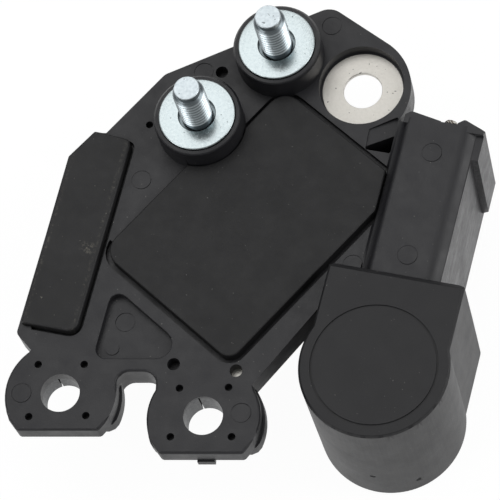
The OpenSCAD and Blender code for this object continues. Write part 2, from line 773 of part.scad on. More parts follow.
module suppression_capacitor() color("#c8a04a") {
    translate([side_lid_x + ledge_w + 0.3, 17.5, side_floor_z])
        cube([side_lid_w - 2 * ledge_w - 0.6, 12, 2.7]);
    capacitor_legs();
}

module potting_gel() color("#8fa3a8") difference() {
    translate([0, 0, sink_t]) linear_extrude(3.9 - sink_t)
        clear_of_neighbours(ledge_w - 0.5 + seat) lid_outline(-ledge_w - seat);
    circuit_substrate();
    regulator_chip();
    power_transistor();
    freewheel_diode();
    strips();
    capacitor_legs();
}

base_housing();
electronics_lid();
side_lid();
left_stud();
right_stud();
ring_terminal();
left_ear_bushing();
right_ear_bushing();
slip_ring_cap();
brush_end_cover();
upper_brush();
lower_brush();
upper_brush_spring();
lower_brush_spring();
upper_brush_lead();
lower_brush_lead();
upper_brush_strip();
lower_brush_strip();
left_stud_strip();
right_stud_strip();
ground_strip();
heat_sink();
circuit_substrate();
regulator_chip();
power_transistor();
freewheel_diode();
suppression_capacitor();
potting_gel();
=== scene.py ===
import json
import math

import bpy
from mathutils import Matrix, Vector

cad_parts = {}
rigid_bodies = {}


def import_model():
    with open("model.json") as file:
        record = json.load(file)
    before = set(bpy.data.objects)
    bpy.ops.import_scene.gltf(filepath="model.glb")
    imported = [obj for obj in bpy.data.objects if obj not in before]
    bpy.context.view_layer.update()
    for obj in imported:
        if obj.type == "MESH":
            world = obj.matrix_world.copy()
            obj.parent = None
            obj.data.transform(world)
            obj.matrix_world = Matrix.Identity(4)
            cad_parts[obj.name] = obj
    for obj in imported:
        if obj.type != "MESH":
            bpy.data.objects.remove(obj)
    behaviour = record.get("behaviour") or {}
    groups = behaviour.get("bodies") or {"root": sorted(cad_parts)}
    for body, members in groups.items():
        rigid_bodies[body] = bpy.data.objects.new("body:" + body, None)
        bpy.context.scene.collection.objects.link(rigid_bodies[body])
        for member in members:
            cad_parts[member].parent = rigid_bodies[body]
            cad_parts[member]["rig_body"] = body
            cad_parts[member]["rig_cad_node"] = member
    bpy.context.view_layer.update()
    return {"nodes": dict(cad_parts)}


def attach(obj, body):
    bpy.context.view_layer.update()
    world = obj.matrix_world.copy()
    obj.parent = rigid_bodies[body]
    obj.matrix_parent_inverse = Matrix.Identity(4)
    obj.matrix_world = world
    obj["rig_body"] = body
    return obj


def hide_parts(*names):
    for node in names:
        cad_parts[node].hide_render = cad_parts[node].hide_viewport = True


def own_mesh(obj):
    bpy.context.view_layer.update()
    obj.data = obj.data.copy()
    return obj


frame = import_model()
nodes = frame["nodes"]
mm = 0.001

# The housing: one black moulding that carries the plate, ears, stud bosses and brush box.
# It is injection moulded in glass-filled PBT, so its faces are dull with a fine grain,
# its walls carry faint draw marks, painted lighter at the brush box's side as painted light,
# and ejector pins have left round witness marks on it.


def srgb(code):
    """A colour as written on a colour card, turned into the linear values that shaders use."""
    parts = [int(code[i : i + 2], 16) / 255 for i in (1, 3, 5)]
    linear = [p / 12.92 if p <= 0.04045 else ((p + 0.055) / 1.055) ** 2.4 for p in parts]
    return (*linear, 1.0)


def shade(code, factor):
    """A card colour made lighter or darker by a factor of its light."""
    return (*(factor * part for part in srgb(code)[:3]), 1.0)


def add(tree, kind, inputs=None, **settings):
    """Adds one node, with its settings, and its input values or links to other nodes' sockets."""
    node = tree.nodes.new(kind)
    for name, value in settings.items():
        setattr(node, name, value)
    for name, value in (inputs or {}).items():
        socket = node.inputs[name]
        if isinstance(value, bpy.types.NodeSocket):
            tree.links.new(value, socket)
        else:
            socket.default_value = value
    return node


def new_material(name, colour, roughness, metallic=0.0, specular=0.5):
    """A new material with these values on its shader; a metal keeps the default reflection."""
    material = bpy.data.materials.new(name)
    material.use_nodes = True
    shader = material.node_tree.nodes["Principled BSDF"]
    shader.inputs["Base Color"].default_value = srgb(colour)
    shader.inputs["Roughness"].default_value = roughness
    shader.inputs["Metallic"].default_value = metallic
    if not metallic:
        shader.inputs["Specular IOR Level"].default_value = specular
    return material, material.node_tree, shader


def set_materials(piece, *materials):
    """Gives a piece these materials in place of any that it has."""
    piece.data.materials.clear()
    for material in materials:
        piece.data.materials.append(material)


def moulded_plastic(
    name,
    base,
    dust,
    grain_depth_mm,
    roughness,
    specular,
    streaks_and_wall_light=0.0,
    scratch_mm=0.6,
    cloud=0.1,
    speck_start=0.77,
    drawn_along=(1.0, 1.0, 0.04),
):
    """Moulded plastic: a mottled sheen, draw marks with painted light on the brush box's walls,
    grain and specks.
    """
    material, tree, shader = new_material(name, base, roughness, specular=specular)
    place = add(tree, "ShaderNodeTexCoord").outputs["Object"]
    facing = add(tree, "ShaderNodeNewGeometry").outputs["Normal"]
    upright = add(tree, "ShaderNodeSeparateXYZ", {"Vector": facing}).outputs["Z"]
    level = add(tree, "ShaderNodeMath", {0: upright}, operation="ABSOLUTE").outputs[0]
    wall = add(
        tree,
        "ShaderNodeMapRange",
        {"Value": level, "From Min": 0.7, "From Max": 0.2, "To Max": streaks_and_wall_light},
    ).outputs["Result"]
    # Only the walls at the right, of the brush box and its cap, show draw marks and painted light
    along = add(tree, "ShaderNodeSeparateXYZ", {"Vector": place}).outputs["X"]
    at_box = add(
        tree, "ShaderNodeMapRange", {"Value": along, "From Min": 17 * mm, "From Max": 19 * mm}
    ).outputs["Result"]
    wall = add(tree, "ShaderNodeMath", {0: wall, 1: at_box}, operation="MULTIPLY").outputs[0]
    # Flow mottle: cloudy patches about 4 mm across, as glass fibre leaves them
    mottle = add(
        tree,
        "ShaderNodeTexNoise",
        {"Vector": place, "Scale": 1 / (4 * mm), "Detail": 8.0, "Roughness": 0.72},
    ).outputs["Fac"]
    mottled = add(
        tree,
        "ShaderNodeMix",
        {0: mottle, 6: shade(base, 1 - 2.8 * cloud), 7: shade(base, 1 + 3.4 * cloud)},
        data_type="RGBA",
    ).outputs[2]
    # Draw marks: streaks scratch_mm wide and many times longer along the way the tool opens
    stretched = add(
        tree, "ShaderNodeMapping", {"Vector": place, "Scale": drawn_along}
    ).outputs["Vector"]
    streak = add(
        tree,
        "ShaderNodeTexNoise",
        {"Vector": stretched, "Scale": 1 / (scratch_mm * mm), "Detail": 3.0, "Roughness": 0.7},
    ).outputs["Fac"]
    drawn = add(
        tree, "ShaderNodeMapRange", {"Value": streak, "From Min": 0.38, "From Max": 0.66}
    ).outputs["Result"]
    wall_marks_and_light = add(tree, "ShaderNodeMath", {0: wall, 1: drawn}, operation="MULTIPLY").outputs[0]
    # Painted light: the wall streaks are painted 2.6 times lighter, partly draw marks and partly
    # painted light from the bright side
    painted_wall_light = add(
        tree, "ShaderNodeMix", {0: wall_marks_and_light, 6: mottled, 7: shade(base, 2.6)}, data_type="RGBA"
    ).outputs[2]
    # Dust and handling specks, about 0.15 mm across and far apart
    specks = add(
        tree,
        "ShaderNodeTexNoise",
        {"Vector": place, "Scale": 1 / (0.42 * mm), "Detail": 1.0, "Roughness": 0.5},
    ).outputs["Fac"]
    speck_amount = add(
        tree,
        "ShaderNodeMapRange",
        {"Value": specks, "From Min": speck_start, "From Max": speck_start + 0.04, "To Max": 0.5},
    ).outputs["Result"]
    dusted = add(
        tree, "ShaderNodeMix", {0: speck_amount, 6: painted_wall_light, 7: srgb(dust)}, data_type="RGBA"
    ).outputs[2]
    tree.links.new(dusted, shader.inputs["Base Color"])
    sheen = add(
        tree,
        "ShaderNodeMapRange",
        {
            "Value": mottle,
            "From Min": 0.3,
            "From Max": 0.7,
            "To Min": roughness - cloud,
            "To Max": roughness + cloud,
        },
    ).outputs["Result"]
    sheen = add(
        tree, "ShaderNodeMath", {0: wall_marks_and_light, 1: -0.16, 2: sheen}, operation="MULTIPLY_ADD"
    ).outputs[0]
    tree.links.new(sheen, shader.inputs["Roughness"])
    # Grain of the tool's spark-eroded surface: 0.05 mm in truth, drawn 0.3 mm so that it shows
    grain = add(
        tree,
        "ShaderNodeTexNoise",
        {"Vector": place, "Scale": 1 / (0.3 * mm), "Detail": 3.0, "Roughness": 0.65},
    ).outputs["Fac"]
    relief = add(
        tree, "ShaderNodeMath", {0: wall_marks_and_light, 1: 2.0, 2: grain}, operation="MULTIPLY_ADD"
    ).outputs[0]
    bump = add(
        tree, "ShaderNodeBump", {"Height": relief, "Distance": grain_depth_mm * mm}
    ).outputs["Normal"]
    tree.links.new(bump, shader.inputs["Normal"])
    return material, tree, shader, place


housing_plastic = moulded_plastic(
    "glass_filled_pbt",
    "#222225",
    "#85847f",
    grain_depth_mm=0.02,
    roughness=0.44,
    specular=0.5,
    streaks_and_wall_light=0.6,
    scratch_mm=0.35,
    drawn_along=(1.0, 0.04, 1.0),
)[0]


def select_only(piece):
    """Makes a piece the only one selected, and the active one."""
    bpy.ops.object.select_all(action="DESELECT")
    piece.select_set(True)
    bpy.context.view_layer.objects.active = piece


def node_copy(node, name):
    """A CAD node's shape as a new piece, with its loose triangles joined."""
    select_only(nodes[node])
    bpy.ops.object.duplicate()
    piece = bpy.context.object
    piece.name = name
    piece.data.name = name
    piece.parent = None
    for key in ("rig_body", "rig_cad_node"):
        del piece[key]
    bpy.ops.object.mode_set(mode="EDIT")
    bpy.ops.mesh.select_all(action="SELECT")
    bpy.ops.mesh.remove_doubles(threshold=0.002 * mm)
    bpy.ops.object.mode_set(mode="OBJECT")
    return piece


housing = node_copy("base_housing", "moulded_housing")
PLATE_TOP = 5.2

# Two gaps are closed in the moulding: a sill fills the lid's groove along its upper left edge,
# and a sloping ledge covers the back of the web's pocket beside the brush box
LID_ANGLE = math.radians(-29.5)
LID_CORNER = Vector((-22.36, 22.86))
SILL_START, SILL_END = 2.4, 19.6
SILL_WIDTH = 1.1
SILL_HEIGHT = 1.2
SILL_GAP = 0.03
LEDGE = [(13.6, 48.1, 4.95), (18.1, 51.15, 4.45), (13.6, 51.2, 4.95), (18.1, 54.4, 4.45)]
LEDGE_DEPTH = 6.4


def cut_or_join(piece, other, operation):
    """Cuts another solid out of a piece, or joins it on, and removes the other."""
    select_only(piece)
    change = piece.modifiers.new("change", "BOOLEAN")
    change.operation = operation
    change.solver = "EXACT"
    change.object = other
    bpy.ops.object.modifier_apply(modifier="change")
    bpy.data.objects.remove(other)


lid_turn = Matrix.Rotation(LID_ANGLE, 2)
sill_middle = LID_CORNER + lid_turn @ Vector(
    (-SILL_GAP - SILL_WIDTH / 2, (SILL_START + SILL_END) / 2)
)
bpy.ops.object.select_all(action="DESELECT")
bpy.ops.mesh.primitive_cube_add(
    size=1,
    location=(*(sill_middle * mm), (PLATE_TOP - SILL_HEIGHT / 2) * mm),
    rotation=(0, 0, LID_ANGLE),
    scale=(SILL_WIDTH * mm, (SILL_END - SILL_START) * mm, SILL_HEIGHT * mm),
)
cut_or_join(housing, bpy.context.object, "UNION")
bpy.ops.object.select_all(action="DESELECT")
bpy.ops.mesh.primitive_plane_add(size=1)
ledge = bpy.context.object
for vertex, corner in zip(ledge.data.vertices, LEDGE):
    vertex.co = Vector(corner) * mm
bpy.ops.object.mode_set(mode="EDIT")
bpy.ops.mesh.select_all(action="SELECT")
bpy.ops.mesh.extrude_region_move(TRANSFORM_OT_translate={"value": (0, 0, -LEDGE_DEPTH * mm)})
bpy.ops.mesh.select_all(action="SELECT")
bpy.ops.mesh.normals_make_consistent(inside=False)
bpy.ops.object.mode_set(mode="OBJECT")
cut_or_join(housing, ledge, "UNION")

# Ejector pins leave round witness marks 3.2 mm across, each with a fine sunk rim. One rim is
# modelled as a ring and copied to every mark, a little tilted, and then cut out of the housing.
# Each row gives a mark's place and the direction in which it is tilted.
MARK_R = 1.6
RIM_WIDTH = 0.13
RIM_DEPTH = 0.1
TILT = math.radians(1.6)
BOX_TOP = 7.7
MARKS = [
    (-28.67, -1.92, PLATE_TOP, 20),
    (5.63, 1.56, PLATE_TOP, 130),
    (-16.14, 12.82, PLATE_TOP - 1.2, 250),
    (-19.65, 36.10, PLATE_TOP, 80),
    (-14.65, 56.12, PLATE_TOP, 200),
    (3.63, 67.60, PLATE_TOP, 310),
    (24.82, 47.86, BOX_TOP, 90),
    (25.03, 30.48, BOX_TOP, 45),
    (16.61, 28.35, PLATE_TOP, 100),
]
rims = []
for x, y, z, turn in MARKS:
    if not rims:
        bpy.ops.object.select_all(action="DESELECT")
        bpy.ops.mesh.primitive_cylinder_add(
            vertices=48, radius=MARK_R * mm, depth=2 * RIM_DEPTH * mm, end_fill_type="NOTHING"
        )
        rim = bpy.context.object
        wall = rim.modifiers.new("rim_width", "SOLIDIFY")
        wall.thickness = RIM_WIDTH * mm
        wall.offset = -1
        bpy.ops.object.modifier_apply(modifier="rim_width")
    else:
        select_only(rims[0])
        bpy.ops.object.duplicate()
        rim = bpy.context.object
    tilt = Matrix.Rotation(math.radians(turn), 4, "Z") @ Matrix.Rotation(TILT, 4, "X")
    rim.matrix_world = Matrix.Translation((x * mm, y * mm, z * mm)) @ tilt
    rims.append(rim)
for rim in rims:
    rim.select_set(True)
bpy.context.view_layer.objects.active = rims[0]
bpy.ops.object.join()
cut_or_join(housing, bpy.context.object, "DIFFERENCE")

# The ears and the slot between them have a round top edge, and so has the sunk triangle. An
# ear's outline lies between its flats and its round end, and faces outwards.
EAR_CENTRES = [Vector((0.0, 0.0)), Vector((-22.73, -0.73))]
EAR_OUTSIDE = 8.95
EAR_FLAT = 5.95
EAR_EDGE = 0.36
SLOT_LEFT, SLOT_RIGHT, SLOT_END = -14.8, -7.9, 9.5
DEEP_WALL = 3.9
TRIANGLE_DEPTH = 0.6
TRIANGLE_EDGE = 0.14
CLOSE = 0.02


def at_ear(middle, wall, top):
    """Tells whether an edge of the plate's top belongs to an ear's outline or to the slot."""
    if abs(middle.z - PLATE_TOP) > CLOSE or wall.center.z > DEEP_WALL * mm:
        return False
    out = min((middle.xy - centre for centre in EAR_CENTRES), key=lambda reach: reach.length)
    slot = SLOT_LEFT < middle.x < SLOT_RIGHT and middle.y < SLOT_END
    outline = out.normalized().dot(wall.normal.xy) > 0.6 and wall.area > 0.5 * mm * mm
    return slot or EAR_FLAT < out.length < EAR_OUTSIDE and outline


def at_triangle(middle, wall, top):
    """Tells whether an edge of the plate's top belongs to the sunk triangle, by its depth."""
    depth = PLATE_TOP - wall.center.z / mm
    return abs(middle.z - PLATE_TOP) < CLOSE and abs(depth - TRIANGLE_DEPTH) < CLOSE


def join_flats(piece):
    """Joins the coplanar triangles of a piece into whole faces."""
    select_only(piece)
    bpy.ops.object.mode_set(mode="EDIT")
    bpy.ops.mesh.select_all(action="SELECT")
    bpy.ops.mesh.dissolve_limited(angle_limit=math.radians(1.0))
    bpy.ops.object.mode_set(mode="OBJECT")


def break_edges(piece, width_mm, wanted):
    """Bevels the sharp edges that pass a test of their middle and of the two faces beside them."""
    select_only(piece)
    bpy.ops.object.mode_set(mode="EDIT")
    bpy.ops.mesh.select_mode(type="EDGE")
    bpy.ops.mesh.select_all(action="DESELECT")
    bpy.ops.object.mode_set(mode="OBJECT")
    mesh = piece.data
    beside = {}
    for face in mesh.polygons:
        for key in face.edge_keys:
            beside.setdefault(key, []).append(face)
    for line in mesh.edges:
        pair = sorted(beside[line.key], key=lambda face: abs(face.normal.z))
        if len(pair) == 2 and pair[0].normal.dot(pair[1].normal) < math.cos(math.radians(50)):
            middle = (mesh.vertices[line.vertices[0]].co + mesh.vertices[line.vertices[1]].co) / 2
            line.select = wanted(middle / mm, *pair)
    bpy.ops.object.mode_set(mode="EDIT")
    bpy.ops.mesh.bevel(offset=width_mm * mm, segments=3, affect="EDGES", clamp_overlap=False)
    bpy.ops.object.mode_set(mode="OBJECT")


def shade_rounds(piece):
    """Shades round stretches smooth, and keeps every broad face beside them flat."""
    select_only(piece)
    bpy.ops.object.shade_smooth_by_angle(angle=math.radians(33))
    mesh = piece.data
    lengths = {}
    for line in mesh.edges:
        ends = [mesh.vertices[i].co for i in line.vertices]
        lengths[line.key] = (ends[1] - ends[0]).length
    broad = set()
    for face in mesh.polygons:
        longest = max(lengths[key] for key in face.edge_keys)
        if abs(face.normal.z) > 0.9999 or face.area > 2.4 * mm * longest:
            broad.update(face.edge_keys)
    for line in mesh.edges:
        if line.key in broad:
            line.use_edge_sharp = True
    walls = piece.modifiers.new("even_walls", "WEIGHTED_NORMAL")
    walls.keep_sharp = True
    walls.weight = 90
    bpy.ops.object.modifier_apply(modifier="even_walls")


join_flats(housing)
break_edges(housing, EAR_EDGE, at_ear)
break_edges(housing, TRIANGLE_EDGE, at_triangle)
shade_rounds(housing)
set_materials(housing, housing_plastic)
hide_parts("base_housing")
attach(housing, "housing")

# The lids: two flat covers bonded over the circuit and the capacitor. They are moulded in a
# duller black than the housing and still carry specks and scuffs of the sealing resin.

RIM_HEIGHT = 6.1
LID_EDGE = 0.22
SIDE_LID_EDGE = 0.3


def at_lid_rim(middle, wall, top):
    """Tells whether an edge is on a lid's upper side."""
    return middle.z > RIM_HEIGHT


lid_plastic = moulded_plastic(
    "bonded_lid_pps", "#1f1f20", "#777774", grain_depth_mm=0.013, roughness=0.5, specular=0.36
)[0]
electronics_lid = node_copy("electronics_lid", "electronics_cover")
join_flats(electronics_lid)
break_edges(electronics_lid, LID_EDGE, at_lid_rim)
shade_rounds(electronics_lid)
set_materials(electronics_lid, lid_plastic)
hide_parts("electronics_lid")
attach(electronics_lid, "housing")

# The side lid is dustier, with resin dust rubbed along both long edges and one pale scuff
side_lid = node_copy("side_lid", "capacitor_cover")
join_flats(side_lid)
# Its corners' finest facets are merged, so that there is room for the bevel
bpy.ops.object.mode_set(mode="EDIT")
bpy.ops.mesh.select_all(action="SELECT")
bpy.ops.mesh.remove_doubles(threshold=0.06 * mm)
bpy.ops.object.mode_set(mode="OBJECT")
break_edges(side_lid, SIDE_LID_EDGE, at_lid_rim)
shade_rounds(side_lid)

DUST = "#8b897f"
RUBBED_RESIN = "#77746a"
RUB_IN = 0.75
RUB_HALF_WIDTH = 0.4
SCUFF = Vector((-24.6, 23.0, 0.0))
SCUFF_R = 1.6
dusty_lid, tree, shader, place = moulded_plastic(
    "dusty_lid_pps",
    "#232324",
    DUST,
    grain_depth_mm=0.012,
    roughness=0.52,
    specular=0.38,
    speck_start=0.75,
)
clean = shader.inputs["Base Color"].links[0].from_socket
across = add(tree, "ShaderNodeSeparateXYZ", {"Vector": place}).outputs["X"]
long_sides = [vertex.co.x for vertex in side_lid.data.vertices]
rub_lines = [min(long_sides) + RUB_IN * mm, max(long_sides) - RUB_IN * mm]
from_scuff = add(
    tree,
    "ShaderNodeMapping",
    {"Vector": place, "Location": -SCUFF * mm, "Scale": (1.0, 1.0, 0.0)},
).outputs["Vector"]
reach = add(tree, "ShaderNodeVectorMath", {0: from_scuff}, operation="LENGTH").outputs["Value"]
worn = add(
    tree,
    "ShaderNodeMapRange",
    {"Value": reach, "From Min": SCUFF_R * mm, "From Max": 0.2 * mm},
).outputs["Result"]
for line in rub_lines:
    aside = add(tree, "ShaderNodeMath", {0: across, 1: line}, operation="SUBTRACT").outputs[0]
    aside = add(tree, "ShaderNodeMath", {0: aside}, operation="ABSOLUTE").outputs[0]
    rub = add(
        tree,
        "ShaderNodeMapRange",
        {"Value": aside, "From Min": RUB_HALF_WIDTH * mm, "From Max": 0.0, "To Max": 0.4},
    ).outputs["Result"]
    worn = add(tree, "ShaderNodeMath", {0: worn, 1: rub}, operation="MAXIMUM").outputs[0]
crumbs = add(
    tree,
    "ShaderNodeTexNoise",
    {"Vector": place, "Scale": 1 / (0.5 * mm), "Detail": 4.0, "Roughness": 0.75},
).outputs["Fac"]
crumbs = add(
    tree, "ShaderNodeMapRange", {"Value": crumbs, "From Min": 0.5, "From Max": 0.68}
).outputs["Result"]
rubbed = add(tree, "ShaderNodeMath", {0: worn, 1: crumbs}, operation="MULTIPLY").outputs[0]
scuffed = add(
    tree, "ShaderNodeMix", {0: rubbed, 6: clean, 7: srgb(RUBBED_RESIN)}, data_type="RGBA"
).outputs[2]
tree.links.new(scuffed, shader.inputs["Base Color"])
set_materials(side_lid, dusty_lid)
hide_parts("side_lid")
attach(side_lid, "housing")

# The slip ring cap: a round cap with a square neck that slides over the brush box. It is
# moulded by itself in nylon, a duller black than the housing, with fine draw marks on its walls,
# painted a little lighter as painted light.

# The wall is nicked in two places. A nick is torn plastic, dull and dark beside the smooth wall.
# Each row gives a nick's place and about how wide it is.
NICKS = [(24.9, 0.0, -8.7, 0.8), (31.3, 2.2, -12.7, 1.15)]
NICK_DEPTH = 0.2
cap_plastic, tree, shader, place = moulded_plastic(
    "cap_pa66",
    "#212123",
    "#777673",
    grain_depth_mm=0.011,
    roughness=0.48,
    specular=0.4,
    streaks_and_wall_light=0.1,
    scratch_mm=0.25,
    cloud=0.045,
)
ragged = add(
    tree,
    "ShaderNodeTexNoise",
    {"Vector": place, "Scale": 1 / (0.5 * mm), "Detail": 3.0, "Roughness": 0.6},
).outputs["Fac"]
nicked = 0.0
for x, y, z, size in NICKS:
    reach = add(
        tree,
        "ShaderNodeVectorMath",
        {0: place, 1: (x * mm, y * mm, z * mm)},
        operation="DISTANCE",
    ).outputs["Value"]
    reach = add(
        tree, "ShaderNodeMath", {0: ragged, 1: 1.6 * size * mm, 2: reach}, operation="MULTIPLY_ADD"
    ).outputs[0]
    nick = add(
        tree,
        "ShaderNodeMapRange",
        {"Value": reach, "From Min": 1.4 * size * mm, "From Max": 1.1 * size * mm},
    ).outputs["Result"]
    nicked = add(tree, "ShaderNodeMath", {0: nick, 1: nicked}, operation="MAXIMUM").outputs[0]
sheen = shader.inputs["Roughness"].links[0].from_socket
dulled = add(tree, "ShaderNodeMath", {0: sheen, 1: nicked}, operation="MAXIMUM").outputs[0]
tree.links.new(dulled, shader.inputs["Roughness"])
torn = add(
    tree,
    "ShaderNodeBump",
    {
        "Height": nicked,
        "Distance": NICK_DEPTH * mm,
        "Normal": shader.inputs["Normal"].links[0].from_socket,
    },
    invert=True,
).outputs["Normal"]
tree.links.new(torn, shader.inputs["Normal"])
cap = node_copy("slip_ring_cap", "slip_ring_hood")
join_flats(cap)
shade_rounds(cap)
set_materials(cap, cap_plastic)
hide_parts("slip_ring_cap")
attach(cap, "housing")

# The two terminal studs: cold-headed steel screws with a round flange, M5 thread and a short
# pilot point, zinc plated and blue passivated, so they are bright with a cool tint. They are
# moulded into the bosses up to the flange.

# Each stud's place and the depth of its flange's turned rings, which are deeper on the right one
STUDS = [("left_stud", -12.5, 46.7, 0.0004), ("right_stud", -3.1, 60.8, 0.0022)]
FLANGE_TOP = 10.0
FLANGE_R = 6.05
FLANGE_H = 1.2
FLANGE_EDGE = 0.16
GROOVE_R = 2.95
GROOVE_LIP = 0.08
GROOVE_LIP_DROP = 0.06
GROOVE_DEPTH = 0.7
THREAD_PITCH = 0.8
THREAD_TURNS = 15
THREAD_STEPS = 48
THREAD_ROOT_R = 2.04
THREAD_FOOT = 8.2
# The steps outwards and upwards that draw one pitch: flank, crest, flank and root
THREAD_PROFILE = [(0.46, 0.33), (0, 0.08), (-0.46, 0.33), (0, 0.06)]
# Radii between which the thread's roots are painted dark as painted shade
GROOVE_SHADE_FROM_R = 2.46
GROOVE_SHADE_TO_R = 2.26
STUD_TOP = 19.3
TURNED_R = 2.7
TURNED_START = 9.0
POINT_R = 2.0
POINT_H = 1.15
POINT_CHAMFER = 0.6
POINT_EDGE = 0.1


def pick_faces(piece, wanted):
    """Selects only the faces that pass a test of their normal and centre, and enters edit mode."""
    bpy.ops.object.mode_set(mode="EDIT")
    bpy.ops.mesh.select_mode(type="FACE")
    bpy.ops.mesh.select_all(action="DESELECT")
    bpy.ops.object.mode_set(mode="OBJECT")
    for face in piece.data.polygons:
        face.select = wanted(face.normal, face.center)
    bpy.ops.object.mode_set(mode="EDIT")


def plated_metal(name, colour, tint, centre, roughness, ring_depth_mm=0.0012, metallic=1.0):
    """Plated or rolled metal: a bright colour with a fine mottle and turned rings round an axis."""
    material, tree, shader = new_material(name, colour, roughness, metallic=metallic)
    place = add(tree, "ShaderNodeTexCoord").outputs["Object"]
    local = add(
        tree,
        "ShaderNodeMapping",
        {"Vector": place, "Location": (-centre[0] * mm, -centre[1] * mm, 0.0)},
    ).outputs["Vector"]
    # Turned rings 0.25 mm apart: at scale 1 this texture's rings are 0.31 m apart
    rings = add(
        tree,
        "ShaderNodeTexWave",
        {"Vector": local, "Scale": 1 / (0.25 * mm) / 3.1, "Distortion": 1.5, "Detail": 2.0},
        wave_type="RINGS",
        rings_direction="Z",
    ).outputs["Fac"]
    # Crystals of the plating, 0.1 mm in truth, drawn 0.4 mm so that they show
    mottle = add(
        tree,
        "ShaderNodeTexNoise",
        {"Vector": place, "Scale": 1 / (0.4 * mm), "Detail": 3.0, "Roughness": 0.7},
    ).outputs["Fac"]
    tinted = add(
        tree, "ShaderNodeMix", {0: mottle, 6: srgb(colour), 7: srgb(tint)}, data_type="RGBA"
    ).outputs[2]
    # Dark pin pricks in the plating, 0.15 mm across and a few millimetres apart
    pits = add(
        tree,
        "ShaderNodeTexNoise",
        {"Vector": place, "Scale": 1 / (0.5 * mm), "Detail": 1.0, "Roughness": 0.5},
    ).outputs["Fac"]
    pitted = add(
        tree,
        "ShaderNodeMapRange",
        {"Value": pits, "From Min": 0.28, "From Max": 0.23, "To Max": 0.85},
    ).outputs["Result"]
    marked = add(
        tree, "ShaderNodeMix", {0: pitted, 6: tinted, 7: shade(colour, 0.12)}, data_type="RGBA"
    ).outputs[2]
    tree.links.new(marked, shader.inputs["Base Color"])
    rough = add(
        tree,
        "ShaderNodeMapRange",
        {
            "Value": mottle,
            "From Min": 0.3,
            "From Max": 0.7,
            "To Min": roughness - 0.05,
            "To Max": roughness + 0.08,
        },
    ).outputs["Result"]
    tree.links.new(rough, shader.inputs["Roughness"])
    bump = add(
        tree, "ShaderNodeBump", {"Height": rings, "Distance": ring_depth_mm * mm}
    ).outputs["Normal"]
    tree.links.new(bump, shader.inputs["Normal"])
    return material, tree, shader, local, marked


def paint_groove_shade(tree, shader, local, colour, crest_mm, root_mm, foot_mm):
    """Painted shade: darkens the metal inside a radius, and below a height, where grooves lie in
    shade.
    """
    flat = add(
        tree, "ShaderNodeMapping", {"Vector": local, "Scale": (1.0, 1.0, 0.0)}
    ).outputs["Vector"]
    radius = add(tree, "ShaderNodeVectorMath", {0: flat}, operation="LENGTH").outputs["Value"]
    depth = add(
        tree,
        "ShaderNodeMapRange",
        {
            "Value": radius,
            "From Min": crest_mm * mm,
            "From Max": root_mm * mm,
            "To Max": 0.7,
        },
    ).outputs["Result"]
    height = add(tree, "ShaderNodeSeparateXYZ", {"Vector": local}).outputs["Z"]
    foot = add(
        tree,
        "ShaderNodeMapRange",
        {
            "Value": height,
            "From Min": (foot_mm + 0.2) * mm,
            "From Max": foot_mm * mm,
            "To Max": 0.9,
        },
    ).outputs["Result"]
    depth = add(tree, "ShaderNodeMath", {0: depth, 1: foot}, operation="MAXIMUM").outputs[0]
    # The dark blue grey stands for the shade in the grooves: painted shade
    dulled = add(
        tree, "ShaderNodeMix", {0: depth, 6: colour, 7: srgb("#2f3d44")}, data_type="RGBA"
    ).outputs[2]
    tree.links.new(dulled, shader.inputs["Base Color"])


